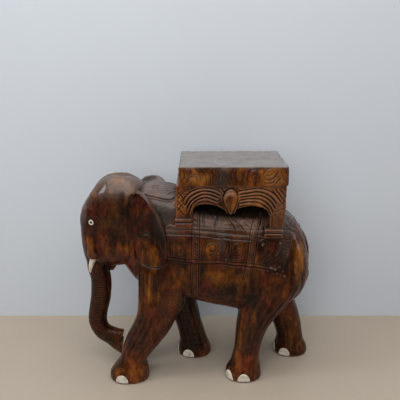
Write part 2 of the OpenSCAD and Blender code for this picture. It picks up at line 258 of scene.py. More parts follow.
class Carving:
    """Depths cut into a mesh, gathered first and then applied along its normals, with painted shade for the
    cuts.

    Flat drawings are given in millimetres in X and Z (side), or Y and Z (end). They reach only the points
    that a mask allows: the one in reach, or the one that a call gives."""

    def __init__(self, obj):
        self.obj = obj
        self.p = get_verts(obj) / MM
        self.n = get_normals(obj)
        self.lift = np.zeros(len(self.p))
        self.dark = np.zeros(len(self.p))
        self.reach = np.ones(len(self.p), bool)

    def plane(self, view):
        return (self.p[:, 0], self.p[:, 2]) if view == "side" else (self.p[:, 1], self.p[:, 2])

    def near(self, path, margin, reach=None, view="side"):
        u, v = self.plane(view)
        lo, hi = path.min(0) - margin, path.max(0) + margin
        mask = (u > lo[0]) & (u < hi[0]) & (v > lo[1]) & (v < hi[1])
        return np.nonzero(mask & (self.reach if reach is None else reach))[0]

    def cut(self, shape, depth, dark, at=slice(None)):
        """Cuts in by depth where shape is 1, and paints shade and grime into the cut."""
        self.lift[at] -= depth * shape
        self.dark[at] = np.maximum(self.dark[at], dark * shape)

    def stroke(self, path, width, depth, fade=0.0, dark=1.0, reach=None, view="side"):
        """A groove (depth over 0) or a raised cord (depth under 0) along a path."""
        path = np.asarray(path, float)
        at = self.near(path, width, reach, view)
        if not len(at):
            return
        u, v = self.plane(view)
        d, along = line_distance(u[at], v[at], path)
        shape = np.clip(1.0 - (d / (width / 2)) ** 2, 0.0, 1.0)
        if fade:
            total = np.hypot(*np.diff(path, axis=0).T).sum()
            shape = shape * smoothstep(0, fade, along) * smoothstep(0, fade, total - along)
        self.cut(shape, depth, dark if depth > 0 else 0.0, at)

    def cuts(self, paths, width, depth, fade=0.0, dark=1.0, cord=None, reach=None):
        """Grooves through drawn points, each with a cord beside it if cord has its shift, width
        and depth."""
        for points in paths:
            path = spline(points)
            self.stroke(path, width, depth, fade, dark, reach)
            if cord:
                shift, cord_width, cord_depth = cord
                self.stroke(path + shift, cord_width, cord_depth, fade, reach=reach)

    def raised(self, path, height, edge, edge_shade):
        """Lifts the area inside a closed path, with a sloping edge and painted shade at its foot."""
        path = np.asarray(path, float)
        at = self.near(path, edge + 2)
        if not len(at):
            return
        u, v = self.plane("side")
        d, _ = line_distance(u[at], v[at], np.vstack([path, path[:1]]))
        signed = np.where(inside(u[at], v[at], path), d, -d)
        self.lift[at] += height * smoothstep(-edge, edge, signed)
        self.cut(np.clip(1 - np.abs(signed + edge) / (edge * 1.2), 0, 1), 0.0, edge_shade, at)

    def lump(self, centre, radius, height):
        """A round bump (height over 0) or hollow around a place in space."""
        d = np.linalg.norm((self.p - np.array(centre, float)) / np.array(radius, float), axis=1)
        self.lift += height * np.exp(-(d**2) * 1.5)

    def apply(self, wear_and_highlight_share=1.0, dirt_and_shade_share=1.0):
        """Moves the points, then notes the grime and painted shade of each groove and hollow, and the rubbing
        and painted highlight of each raised edge.
        """
        p = self.p + self.n * self.lift[:, None]
        set_verts(self.obj, p * MM)
        edges = get_edges(self.obj)
        count = neighbour_count(edges, len(p))
        soft = p
        for _ in range(WEAR_PASSES):
            soft = neighbour_mean(soft, edges, count)
        bulge = ((p - soft) * get_normals(self.obj)).sum(1)
        # grime and painted shade in hollows; rubbed wood and painted highlight on raised edges
        hollow_dirt_and_shade = np.maximum(self.dark, bulge / -WEAR_DEPTH * DIRT_AND_SHADE_SHARE * dirt_and_shade_share)
        wear_and_highlight = np.clip(bulge / WEAR_DEPTH, 0, 1) * (1 - np.clip(self.dark, 0, 1))
        add_values(self.obj, "dirt_and_shade", np.clip(hollow_dirt_and_shade, 0, 1))
        add_values(self.obj, "worn_and_highlit", wear_and_highlight * wear_and_highlight_share)


# -------- materials


class Nodes:
    """Short names for building a node material."""

    def __init__(self, name):
        self.mat = bpy.data.materials.new(name)
        self.mat.use_nodes = True
        self.tree = self.mat.node_tree
        self.tree.nodes.clear()
        self.out = self.tree.nodes.new("ShaderNodeOutputMaterial")
        self.shader = self.tree.nodes.new("ShaderNodeBsdfPrincipled")
        self.link(self.shader.outputs["BSDF"], self.out.inputs["Surface"])
        self.coords = self.tree.nodes.new("ShaderNodeTexCoord").outputs["Object"]

    def link(self, a, b):
        self.tree.links.new(a, b)

    def put(self, socket, value):
        """Sets a socket to a value, or links another socket to it."""
        if isinstance(value, (int, float, tuple, list)):
            socket.default_value = value
        else:
            self.link(value, socket)

    def node(self, kind, inputs):
        node = self.tree.nodes.new("ShaderNode" + kind)
        for key, value in inputs.items():
            self.put(node.inputs[key], value)
        return node

    def noise(self, stretch, detail, rough, distortion=0.0, shift=(0, 0, 0)):
        """Noise at so many lumps to a metre along X, Y and Z."""
        place = self.node("Mapping", {"Vector": self.coords, "Scale": stretch, "Location": shift}).outputs[0]
        inputs = {"Vector": place, "Scale": 1.0, "Detail": detail, "Roughness": rough}
        return self.node("TexNoise", {**inputs, "Distortion": distortion}).outputs["Fac"]

    def ramp(self, value, stops):
        node = self.tree.nodes.new("ShaderNodeValToRGB")
        self.link(value, node.inputs["Fac"])
        band = node.color_ramp
        while len(band.elements) < len(stops):
            band.elements.new(0.5)
        for element, (place, colour) in zip(band.elements, stops):
            element.position = place
            element.color = (*colour, 1.0)
        return node.outputs["Color"]

    def remap(self, value, lo, hi, out_lo=0.0, out_hi=1.0):
        inputs = {"Value": value, "From Min": lo, "From Max": hi, "To Min": out_lo, "To Max": out_hi}
        node = self.node("MapRange", inputs)
        node.clamp = True
        return node.outputs["Result"]

    def math(self, kind, a, b):
        node = self.node("Math", {0: a, 1: b})
        node.operation = kind
        return node.outputs[0]

    def times(self, a, b):
        return self.math("MULTIPLY", a, b)

    def plus(self, a, b):
        return self.math("ADD", a, b)

    def mix(self, factor, a, b, kind="MIX"):
        node = self.tree.nodes.new("ShaderNodeMix")
        node.data_type = "RGBA"
        node.blend_type = kind
        self.put(node.inputs[0], factor)
        for key, colour in ((6, a), (7, b)):
            self.put(node.inputs[key], (*colour, 1.0) if isinstance(colour, tuple) else colour)
        return node.outputs[2]

    def attribute(self, name):
        node = self.tree.nodes.new("ShaderNodeAttribute")
        node.attribute_name = name
        return node.outputs["Fac"]

    def bump(self, height, strength, distance):
        inputs = {"Strength": strength, "Distance": distance, "Height": height}
        return self.node("Bump", inputs).outputs["Normal"]

    def done(self, colour, roughness, normal, coat=0.0, coat_rough=0.1, spec=0.5):
        for key, value in (
            ("Base Color", colour),
            ("Roughness", roughness),
            ("Coat Weight", coat),
            ("Coat Roughness", coat_rough),
            ("Specular IOR Level", spec),
            ("Normal", normal),
        ):
            self.put(self.shader.inputs[key], value)
        return self.mat


def varnished_wood():
    """Stained hardwood under varnish: black-brown, burgundy and amber figure running up the log."""
    m = Nodes("varnished_wood")
    lumps = m.noise((12, 12, 6), 5, 0.62, 0.5, (2, 5, 1))
    streak = m.noise((36, 36, 3.4), 5, 0.55, 0.5, (3, 1, 7))
    mottle = m.noise((150, 150, 9), 4, 0.6, 0.3, (6, 2, 4))
    fine = m.noise((420, 420, 30), 3, 0.6)
    red = m.noise((13, 13, 8), 4, 0.6, 0.4, (8, 3, 5))
    blotch = m.noise((75, 75, 34), 5, 0.66, 0.3, (1, 6, 3))
    figure = m.plus(m.times(lumps, 0.48), m.times(streak, 0.12))
    figure = m.plus(figure, m.times(mottle, 0.07))
    figure = m.plus(figure, m.times(blotch, 0.33))
    brown = m.ramp(figure, [
        (0.40, (0.007, 0.0030, 0.0018)),
        (0.47, (0.028, 0.0082, 0.0022)),
        (0.53, (0.076, 0.0240, 0.0040)),
        (0.60, (0.185, 0.0660, 0.0088)),
    ])
    burgundy = m.ramp(figure, [
        (0.40, (0.010, 0.0030, 0.0022)),
        (0.47, (0.037, 0.0066, 0.0034)),
        (0.53, (0.090, 0.0165, 0.0066)),
        (0.60, (0.168, 0.0420, 0.0112)),
    ])
    amber = m.ramp(figure, [
        (0.40, (0.045, 0.0120, 0.0018)),
        (0.48, (0.150, 0.0480, 0.0045)),
        (0.58, (0.330, 0.1300, 0.0130)),
    ])
    base = m.mix(m.remap(red, 0.44, 0.60), brown, burgundy)
    base = m.mix(m.attribute("warm"), base, amber)
    base = m.mix(m.times(m.attribute("heart"), 0.86), base, (0.010, 0.0065, 0.0055))
    patchy = m.remap(lumps, 0.40, 0.60, 0.35, 0.85)
    # painted grey sheen and painted pinkish light, patchy
    base = m.mix(m.times(m.attribute("cool"), patchy), base, (0.062, 0.052, 0.046))
    base = m.mix(m.times(m.attribute("pale"), patchy), base, (0.165, 0.092, 0.062))
    pores = m.remap(fine, 0.35, 0.65, 0.78, 1.10)
    base = m.mix(1.0, base, m.ramp(pores, [(0.0, (0, 0, 0)), (1.0, (1, 1, 1))]), "MULTIPLY")
    # wear and painted highlight: raised edges lightened
    edge = m.mix(streak, (0.12, 0.045, 0.020), (0.27, 0.128, 0.064))
    base = m.mix(m.times(m.attribute("worn_and_highlit"), 0.55), base, edge)
    # painted sheen: patchy pale grey on the surfaces that face up, standing in for the room's reflection in
    # the varnish
    sheen_noise = m.noise((16, 26, 26), 4, 0.6, shift=(4, 4, 4))
    painted_sheen = m.times(m.attribute("up"), m.remap(sheen_noise, 0.35, 0.65, 0.38, 0.62))
    base = m.mix(painted_sheen, base, (0.165, 0.147, 0.136))
    # dust and painted reflection, patchy, where a piece asks for it
    dust_sheen_patches = m.remap(m.plus(sheen_noise, streak), 0.85, 1.15, 0.72, 0.98)
    dust_and_sheen_amount = m.times(m.attribute("dusty_sheen"), dust_sheen_patches)
    base = m.mix(dust_and_sheen_amount, base, (0.200, 0.184, 0.174))
    # dirt and painted shade in grooves and hollows, including the painted shadow under the stand
    base = m.mix(m.times(m.attribute("dirt_and_shade"), 0.80), base, (0.008, 0.0045, 0.003))
    scuff = m.noise((34, 34, 34), 4, 0.62)
    rough = m.remap(scuff, 0.35, 0.7, 0.26, 0.46)
    chisel = m.noise((55, 55, 40), 2, 0.5)
    grain = m.plus(m.times(fine, 0.25), m.times(mottle, 0.4))
    normal = m.bump(m.plus(grain, chisel), 0.30, 0.0016)
    return m.done(base, rough, normal, coat=0.42, coat_rough=0.12, spec=0.06)


def bone():
    """Cream bone, clouded, with faint brown veins."""
    m = Nodes("bone")
    cloud = m.noise((70, 70, 70), 4, 0.6)
    vein = m.noise((260, 260, 90), 5, 0.6)
    colour = m.ramp(cloud, [
        (0.3, (0.33, 0.28, 0.21)),
        (0.5, (0.49, 0.44, 0.37)),
        (0.75, (0.60, 0.57, 0.52)),
    ])
    colour = m.mix(m.remap(vein, 0.58, 0.75, 0.0, 0.35), colour, (0.30, 0.22, 0.13))
    rough = m.remap(cloud, 0.3, 0.7, 0.3, 0.45)
    return m.done(colour, rough, m.bump(vein, 0.2, 0.0004), coat=0.3, coat_rough=0.2)


def black_pin():
    m = Nodes("black_pin")
    cloud = m.noise((300, 300, 300), 3, 0.5)
    colour = m.ramp(cloud, [(0.3, (0.008, 0.006, 0.005)), (0.7, (0.025, 0.018, 0.014))])
    return m.done(colour, m.remap(cloud, 0.3, 0.7, 0.15, 0.3), m.bump(cloud, 0.1, 0.0002), coat=0.5)


def raw_dowel():
    m = Nodes("raw_dowel")
    grain = m.noise((300, 300, 30), 4, 0.6)
    colour = m.ramp(grain, [(0.3, (0.16, 0.08, 0.035)), (0.7, (0.34, 0.20, 0.10))])
    return m.done(colour, m.remap(grain, 0.3, 0.7, 0.55, 0.75), m.bump(grain, 0.3, 0.0004))


def plain_paint(name, colour, rough, uneven, clear_behind=False):
    """Slightly uneven paint. With clear_behind, a view from behind the surface looks through it."""
    m = Nodes(name)
    cloud = m.noise((2.5, 2.5, 2.5), 3, 0.5)
    darker = tuple(c * (1 - uneven) for c in colour)
    shade = m.ramp(cloud, [(0.3, darker), (0.7, colour)])
    grain = m.noise((180, 180, 180), 3, 0.5)
    if clear_behind:
        behind = m.node("NewGeometry", {}).outputs["Backfacing"]
        clear = m.node("BsdfTransparent", {}).outputs["BSDF"]
        mix = m.node("MixShader", {"Fac": behind, 1: m.shader.outputs["BSDF"], 2: clear})
        m.link(mix.outputs["Shader"], m.out.inputs["Surface"])
    return m.done(shade, rough, m.bump(grain, 0.05, 0.0005))


WOOD = varnished_wood()
BONE = bone()
BLACK = black_pin()
DOWEL = raw_dowel()


def finish_piece(obj, material, slot, *nodes):
    """Gives a piece its material and ties it to the frame in place of its CAD nodes."""
    obj.data.materials.clear()
    obj.data.materials.append(material)
    obj.data.shade_smooth()
    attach(obj, "root")
    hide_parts(*nodes)


# Where the log shows orange sapwood or dark stain, in millimetres: X, Z, reach in X, reach in Z, amount
WARM = [
    (-282, 364, 14, 30, 1.0), (-198, 366, 26, 20, 0.4), (-116, 352, 15, 30, 0.85),
    (-129, 262, 12, 60, 0.55), (-160, 140, 18, 46, 0.4), (-60, 290, 46, 34, 0.4), (40, 300, 60, 30, 0.42),
    (110, 300, 30, 26, 0.3), (248, 330, 18, 62, 0.8), (212, 252, 20, 40, 0.5), (120, 36, 40, 22, 0.2),
    (-190, 30, 44, 26, 0.35), (170, 552, 44, 30, 0.9), (-10, 552, 44, 30, 0.6), (185, 450, 18, 40, 0.9),
    (-45, 480, 18, 40, 0.7), (128, 505, 44, 24, 0.9), (2, 512, 30, 14, 0.4), (73, 490, 14, 26, 0.3),
    (30, 375, 34, 28, 0.65), (100, 378, 26, 26, 0.45), (-50, 375, 24, 30, 0.5), (165, 380, 20, 24, 0.4),
    (262, 70, 20, 40, 0.4),
]
STAIN = [
    (-212, 430, 50, 42, 0.68), (-180, 468, 24, 26, 0.45), (-92, 400, 14, 70, 0.5), (-100, 458, 22, 20, 0.5),
    (170, 332, 40, 22, 0.6), (187, 268, 26, 26, 0.4), (138, 236, 24, 34, 0.5), (52, 262, 10, 30, 0.7),
    (-262, 160, 34, 60, 0.3), (122, 96, 22, 24, 0.5), (205, 385, 14, 50, 0.4), (-138, 402, 26, 12, 0.6),
    (-158, 300, 16, 26, 0.3), (-18, 120, 54, 90, 1.1), (-40, 200, 20, 60, 0.8), (262, 150, 30, 40, 0.3),
    (-90, 220, 16, 40, 0.3), (-128, 60, 22, 40, 0.4), (-40, 30, 50, 24, 0.5), (-150, 150, 20, 46, 0.55),
    (-130, 170, 60, 110, 0.3), (-165, 110, 26, 50, 0.45), (-120, 440, 40, 60, 0.25),
    (125, 160, 40, 100, 0.3), (-205, 342, 44, 22, 0.5), (-205, 492, 44, 30, 0.6), (-84, 452, 26, 34, 0.6),
    (-250, 470, 20, 34, 0.4), (150, 130, 20, 50, 0.5),
]
# Greyish (COOL) painted sheen, and pinkish (PALE) painted light and sheen; PALE also lightens the straps
COOL = [
    (205, 370, 20, 34, 0.8), (206, 428, 26, 22, 0.9), (-82, 455, 30, 34, 0.9), (14, 448, 30, 24, 0.4),
    (54, 400, 14, 46, 0.9), (-60, 420, 20, 14, 0.6), (140, 410, 14, 16, 0.5), (54, 550, 22, 40, 0.5),
    (-296, 440, 12, 34, 0.9), (-222, 508, 62, 26, 0.6), (-278, 402, 12, 12, 0.5), (-60, 250, 20, 20, 0.3),
]
PALE = [
    (108, 436, 26, 18, 1.0), (76, 446, 14, 14, 0.6), (-190, 506, 20, 8, 0.4), (-224, 512, 12, 7, 0.5),
    (14, 424, 20, 8, 0.4), (-292, 462, 9, 30, 0.8), (182, 480, 24, 44, 0.9), (60, 440, 60, 16, 0.4),
    (170, 552, 50, 24, 0.45), (-10, 552, 40, 24, 0.45), (246, 330, 20, 50, 0.35), (-11, 430, 8, 26, 0.5),
    (-11, 372, 8, 26, 0.4), (-12, 300, 8, 40, 0.4), (136, 428, 9, 20, 0.5), (128, 380, 9, 26, 0.5),
    (120, 330, 9, 30, 0.4),
]
# The dark heartwood that runs up through the blanket, the stand and the seat board, in millimetres
HEART_X = 54
HEART_WIDTH = 14
# Rounds of averaging that smooth the map of upward faces
UP_PASSES = 10


def blobs(places, x, z):
    """How strongly each point falls in a list of soft oval patches, 0 to 1."""
    total = np.zeros(len(x))
    for px, pz, rx, rz, amount in places:
        total += amount * np.exp(-(((x - px) / rx) ** 2) - ((z - pz) / rz) ** 2)
    return np.clip(total, 0, 1)


def tone_values(obj, dusty_sheen=0.0, least_up=0.0):
    """Dark heartwood, stain, warm sapwood, painted sheen and light, and how much each place faces up for the
    painted sheen.
    """
    p = get_verts(obj) / MM
    plain_x, _, plain_z = p.T
    x = plain_x + 6 * waves(p * [1, 1, 0.4], 44, 11) + 4 * waves(p * [1, 1, 0.5], 15, 14)
    z = plain_z + 9 * waves(p * [1, 1, 0.5], 50, 12) + 5 * waves(p, 17, 15)
    streak = np.exp(-(((x - HEART_X) / HEART_WIDTH) ** 2)) * smoothstep(330, 440, z)
    warm = smoothstep(0.18, 0.75, blobs(WARM, x, z))
    stain = smoothstep(0.15, 0.8, blobs(STAIN, x, z))
    up = smoothstep(0.24, 0.92, get_normals(obj)[:, 2]) * smoothstep(120, 200, plain_z)
    edges = get_edges(obj)
    count = neighbour_count(edges, len(p))
    for _ in range(UP_PASSES):
        up = neighbour_mean(up[:, None], edges, count)[:, 0]
    # less painted sheen on the temples and under the arches
    temple = smoothstep(-150, -172, plain_x) * smoothstep(-288, -264, plain_x) * smoothstep(496, 466, plain_z)
    draped = smoothstep(-44, -22, plain_x) * smoothstep(178, 160, plain_x)
    draped *= smoothstep(398, 420, plain_z) * (plain_z < 520)
    up *= (1 - 0.85 * temple) * (1 - 0.35 * draped)
    add_values(obj, "heart", np.clip(streak * (1 - 0.8 * up) + 0.85 * stain, 0, 1))
    add_values(obj, "warm", warm * (1 - streak))
    add_values(obj, "cool", smoothstep(0.1, 0.8, blobs(COOL, x, z)))
    add_values(obj, "pale", smoothstep(0.1, 0.8, blobs(PALE, x, z)))
    # how much each place faces up, which carries the painted sheen, and dust with painted reflection
    add_values(obj, "up", np.maximum(up, least_up))
    add_values(obj, "dusty_sheen", dusty_sheen * up)


# -------- body

# Where the ear leaves the head, in millimetres, and outlines drawn in X and Z
EAR_ROOT_X = -168
TRUNK_LINE = [
    (-262, 310), (-265.5, 264), (-265, 236), (-268, 200), (-276, 160), (-277, 126), (-264, 98), (-242, 80),
    (-210, 67),
]
LEG_HATCH = [
    (-80, 266), (-100, 236), (-106, 205), (-110, 177), (-122, 146), (-116, 122), (-97, 128), (-76, 152),
    (-60, 180), (-50, 210), (-36, 246), (-55, 268),
]
BLANKET = [
    (-84, 428), (-40, 430), (60, 424), (200, 416), (226, 398), (214, 350), (198, 318), (150, 328), (60, 338),
    (-84, 346),
]
HEM = [(202, 394), (221, 390), (217, 352), (203, 322), (194, 330), (205, 362)]
# Distance between the trunk's rings, in millimetres
RING_PITCH = 6.2


def hatch_zone(carving, zone, pitch, depth, angles, width, dark, weave=0.0):
    """Rows of short parallel cuts inside a zone in X and Z.

    With weave over 0 the two directions take turns in square cells of that size."""
    zone = np.asarray(zone, float)
    at = carving.near(zone, 2)
    u, v = carving.plane("side")
    u, v = u[at], v[at]
    within = inside(u, v, zone)
    d, _ = line_distance(u, v, np.vstack([zone, zone[:1]]))
    edge = smoothstep(0, 4, d) * within
    cell = np.zeros(len(u)) if not weave else (np.floor(u / weave) + np.floor(v / weave)) % 2
    for turn, angle in enumerate(angles):
        a = math.radians(angle)
        across = u * math.sin(a) + v * math.cos(a)
        gap = np.abs((across / pitch) % 1.0 - 0.5) * pitch
        cut = np.clip(1 - (gap / (width / 2)) ** 2, 0, 1) * edge
        if weave:
            cut = cut * (cell == turn)
        carving.cut(cut, depth, dark, at)


def carve_blanket(c):
    """The saddle blanket: its edge, borders, straps, panels, hem, tassels and the folds over it."""
    c.raised(spline(BLANKET, 6, True), 1.8, 1.6, edge_shade=0.6)
    # upper and lower borders: cords between dark lines
    upper = spline([(-84, 424), (-24, 424), (24, 419), (85, 412), (121, 409)])
    c.stroke(upper, 3.2, 1.3, dark=0.8)
    c.stroke(upper + [0, -6], 5.0, -0.8)
    c.stroke(upper + [0, -12], 3.0, 1.2, dark=0.8)
    c.stroke(upper + [0, -16], 3.4, -0.7)
    c.stroke(spline([(138, 409), (170, 402), (200, 397), (222, 392)]), 3.0, 1.3, dark=0.7)
    lower = spline([(-84, 354), (0, 349), (54, 347), (78, 343), (115, 340), (160, 333), (196, 326)])
    c.stroke(lower, 3.0, 1.2, dark=0.8)
    c.stroke(lower + [0, -5], 4.6, -0.7)
    c.stroke(lower + [0, -10], 3.4, 1.5, dark=0.9)
    # straps: raised bands between two grooves, with a woven middle
    left = [(-10, 474), (-10, 424), (-11, 372), (-13, 320), (-13, 262), (-12, 236)]
    right = [(146, 458), (136, 430), (130, 408), (127, 380), (124, 350), (119, 318), (112, 284)]
    for middle, low_end in ((left, 300), (right, 340)):
        band = spline(middle)
        c.stroke(band, 19, -1.7, fade=8)
        for shift in (-9.5, 9.5):
            c.stroke(band + [shift, 0], 3.0, 1.5, fade=8, dark=0.8)
        for shift in (-5, 5):
            c.stroke(band + [shift, 0], 2.0, 0.8, fade=8, dark=0.45)
        for top in range(low_end, 452, 5):
            row = band[np.argmin(np.abs(band[:, 1] - top))]
            c.stroke([row + [-3.5, 2.5], row + [3.5, -2.5]], 2.0, 0.8, dark=0.4)
    # motifs of the middle panel: a cartouche with a flower, and a swirl
    c.cuts([
        [
            (2, 358), (5, 374), (10, 390), (17, 399), (30, 403), (46, 402), (58, 398), (64, 386), (62, 372),
            (56, 360),
        ],
        [(12, 374), (16, 388), (28, 393), (42, 390), (46, 378), (40, 366), (26, 362), (16, 366)],
        [(24, 382), (32, 386), (39, 380), (36, 371), (27, 370), (22, 375)],
        [(5, 356), (18, 361), (30, 358), (44, 361), (56, 357)],
        [(68, 398), (72, 384), (70, 368), (64, 356)],
        [
            (110, 396), (96, 394), (82, 388), (76, 376), (80, 364), (92, 359), (102, 364), (104, 374),
            (97, 381), (88, 378),
        ],
        [(72, 350), (86, 352), (98, 354), (112, 366)], [(66, 408), (76, 398), (92, 400), (112, 398)],
    ], 3.0, 1.0, 5, 0.55, cord=((2.4, -1.6), 3.6, -0.2))
    c.lump((31, -103, 378), (5, 10, 5), 1.6)
    # knot on the lower border
    for x, w in ((46, 9), (64, 6)):
        c.stroke(spline(oval((x, 345), w, 6), 5, True), 2.4, 1.3, dark=0.7)
    c.lump((64, -103, 345), (4, 8, 4), 1.8)
    # front panel: a chain of ovals between two lines
    for x in (-66, -34):
        c.stroke(spline([(x, 408), (x - 1, 380), (x, 354)]), 2.4, 1.1, dark=0.5)
    for z in (394, 378, 362):
        c.stroke(spline(oval((-50, z), 9, 7), 4, True), 2.2, 1.0, dark=0.5)
        c.lump((-50, -101, z), (4, 8, 3.5), 1.2)
    c.lump((-31, -101, 350), (4, 8, 4), 1.8)
    # rear panel: leaves
    c.cuts([
        [(142, 394), (152, 400), (163, 395), (168, 383), (160, 370), (149, 362), (143, 352)],
        [(148, 388), (156, 390), (160, 382), (154, 374)],
        [(142, 342), (154, 347), (168, 353), (183, 360), (192, 372)],
        [(148, 356), (160, 358), (172, 366), (178, 380), (174, 394)],
        [(176, 352), (186, 362), (192, 378), (190, 392)],
        [(160, 340), (172, 344), (186, 348), (200, 352)],
    ], 2.8, 0.9, 5, 0.5, cord=((2.2, -1.6), 3.4, -0.2))
    # rear hem with its short cuts, and the knotted tassels
    hatch_zone(c, HEM, 6.4, 1.0, (30,), 2.4, 0.45)
    for x, z, r in (
        (166, 321, 4.4), (175, 326, 4), (184, 320, 5), (194, 327, 4.4), (189, 311, 4.6), (199, 306, 4),
        (209, 301, 4.6), (203, 315, 4), (180, 311, 4), (152, 384, 3), (196, 386, 3.4),
    ):
        c.lump((x, -99, z), (r, 14, r), 3.4)
    # folds of cloth hanging out from under the arches
    for path, width, depth in (
        ([(46, 466), (42, 444), (36, 423)], 9, 1.6), ([(65, 455), (76, 438), (86, 423), (89, 411)], 4, 1.8),
        ([(74, 454), (88, 440), (102, 427), (114, 411)], 4.4, 1.6),
        ([(97, 464), (106, 452), (114, 444), (129, 431)], 4, 1.7), ([(56, 466), (60, 453)], 3.4, 1.2),
        ([(103, 440), (113, 432), (123, 425)], 3.6, 1.4), ([(12, 460), (9, 440), (12, 424)], 7, 1.2),
        ([(24, 464), (32, 452), (41, 444)], 3.6, 1.2), ([(152, 446), (148, 434), (145, 420)], 3.4, 1.2),
        ([(160, 440), (157, 428), (155, 414)], 3.4, 1.2),
    ):
        c.stroke(spline(path), width, depth * 0.8, fade=7, dark=0.4)
        c.stroke(spline(path) + [width * 0.8, 0], width * 1.3, -0.6, fade=7)
    # leaf cuts trail under the right strap
    c.cuts([
        [(104, 316), (98, 300), (96, 280), (99, 262)],
        [(112, 312), (108, 296), (110, 276)],
        [(88, 306), (86, 290), (91, 274)],
    ], 2.4, 0.8, 8, 0.4)


def carve_rump(c):
    """The band over the rump between its two grooves, curls above it and the thigh's long muscles."""
    lower = spline([(214, 424), (221, 415), (234, 408), (246, 396), (256, 381), (264, 362), (270, 348)])
    upper = spline([(216, 436), (226, 424), (240, 413), (252, 396), (262, 379), (270, 362)])
    middle = spline([(215, 430), (230, 416), (246, 402), (260, 380), (268, 360)])
    c.stroke(lower, 3.6, 1.2, dark=0.8)
    c.stroke(upper, 3.0, 0.9, dark=0.7)
    c.stroke(middle, 4.0, -0.5)
    c.cuts([
        [(206, 458), (214, 448), (228, 440), (236, 429)], [(204, 446), (216, 440), (226, 432)],
        [(218, 452), (222, 442), (220, 430)], [(230, 444), (232, 434), (228, 424)],
        [(240, 430), (240, 420), (235, 412)], [(206, 436), (214, 428), (216, 418)],
    ], 2.6, 1.4, 4)
    c.cuts([
        [(176, 176), (196, 212), (222, 246)],
        [(190, 168), (212, 208), (236, 250)],
        [(160, 150), (172, 180), (188, 206)],
    ], 8.0, 1.3, 20, 0.3)


def carve_head(c):
    """The head's forms, the eyelids and the creases of the skin."""
    x, y, z = c.p.T
    # two domes with a valley between them, a heavy brow, hollow temples and full cheeks
    top = smoothstep(476, 520, z) * smoothstep(-165, -200, x)
    c.lift -= 4.5 * np.exp(-((y / 9.0) ** 2)) * top
    c.lift += 1.5 * np.exp(-(((np.abs(y) - 24) / 12.0) ** 2)) * top
    # dirt and painted shade along the valley between the domes
    c.dark = np.maximum(c.dark, 0.45 * np.exp(-((y / 3.0) ** 2)) * top)
    for sign in (-1, 1):
        c.lump((-294, sign * 40, 455), (16, 30, 14), 5.5)
        c.lump((-296, sign * 30, 486), (18, 40, 12), -3.5)
        c.lump((-276, sign * 54, 470), (10, 16, 40), 2.5)
        c.lump((-262, sign * 66, 455), (24, 30, 16), 2.5)
        c.lump((-240, sign * 74, 420), (22, 22, 30), -3.0)
        c.lump((-178, sign * 60, 498), (16, 24, 26), 3.5)
        c.lump((-200, sign * 80, 352), (34, 24, 28), 3.5)
        c.lump((-268, sign * 48, 340), (18, 22, 18), 3.0)
        c.lump((-275, sign * 52, 398), (16, 18, 26), -2.0)
    # eyelids and wrinkles round the eye
    eye = (-271, 428)
    for size, cut in ((9.0, 1.3), (12.5, 0.8)):
        c.stroke(spline(oval(eye, size * 1.15, size * 0.9, 10), 4, True), 2.2, cut)
    c.cuts([
        [(-261, 438), (-257, 431), (-254, 422)], [(-258, 446), (-252, 438), (-248, 428)],
        [(-256, 419), (-248, 414), (-241, 408)], [(-259, 412), (-251, 407), (-242, 402)],
        [(-253, 433), (-246, 425), (-241, 416)], [(-262, 405), (-256, 400), (-248, 396)],
        [(-276, 408), (-268, 402), (-258, 399)],
    ], 2.2, 1.2, 3, 0.7, cord=((1.6, 1.6), 2.4, -1.1))
    # creases in front of the ear and along the jaw
    c.cuts([[(-236, 322), (-218, 314), (-196, 316), (-176, 322)]], 3.0, 1.0, 8, 0.5)
    c.cuts([[(-244, 330), (-236, 312), (-230, 296)]], 3.2, 1.4, 6, 0.7)
    c.cuts([[(-178, 388), (-176, 368), (-178, 346)]], 2.6, 0.8, 8, 0.4)


def carve_neck(c):
    """The flat pad on the neck, its edge, two small ovals, and the cuts that run to the stand."""
    x, plain_y, z = c.p.T
    upward = c.n[:, 2]
    near = (upward > 0.1) & (plain_y < 0)
    c.lump((-112, 44, 506), (46, 44, 34), 7.0)
    edge = spline([(-150, 499), (-134, 498), (-111, 495), (-83, 490), (-68, 491), (-58, 495)])
    c.stroke(edge, 3.4, 1.8, fade=5, reach=near)
    c.stroke(edge + [0, -5], 3.0, 1.0, fade=5, dark=0.5, reach=near)
    c.stroke(edge, 3.4, 1.8, reach=(upward > 0.1) & (plain_y > 0))
    for sign in (-1, 1):
        up = (upward > 0.35) & (np.sign(plain_y) == sign)
        y = plain_y * sign
        for cx in (-117, -107) if sign < 0 else ():
            d = np.hypot((x - cx) / 3.4, (y - 12) / 13.0)
            ring = np.clip(1 - np.abs(d - 1) * 2.6, 0, 1) * up * (z > 480)
            c.cut(ring, 1.2, 0.9)
        for y0, y1, x0 in ((8, 3, -96), (24, 9, -92), (40, 16, -88), (54, 30, -84)):
            t = np.clip((x - x0) / (-56 - x0), 0, 1)
            d = np.abs(y - (y0 + (y1 - y0) * t))
            cut = np.clip(1 - (d / 2.0) ** 2, 0, 1) * up * smoothstep(x0, x0 + 8, x)
            cut *= (x < -50) * (z > 480)
            c.cut(cut, 1.6, 0.9)


def carve_trunk(c):
    """Rings round the trunk, strongest on its outer side."""
    x, y, z = c.p.T
    line = spline(TRUNK_LINE, 8)
    zone = (z < 312) & (x < -196) & (np.abs(y) < 34)
    at = np.nonzero(zone)[0]
    d, along = line_distance(x[at], z[at], line)
    wobble = 0.9 * waves(c.p[at], 30, 21)
    ring = np.abs(((along + wobble) / RING_PITCH) % 1.0 - 0.5) * RING_PITCH
    cut = np.clip(1 - (ring / 1.35) ** 2, 0, 1) * smoothstep(6, 26, along) * (d < 40)
    cut *= smoothstep(-0.2, 0.25, -c.n[at, 0] + np.abs(c.n[at, 1]) - 0.4)
    c.cut(cut, 1.0, 0.75, at)


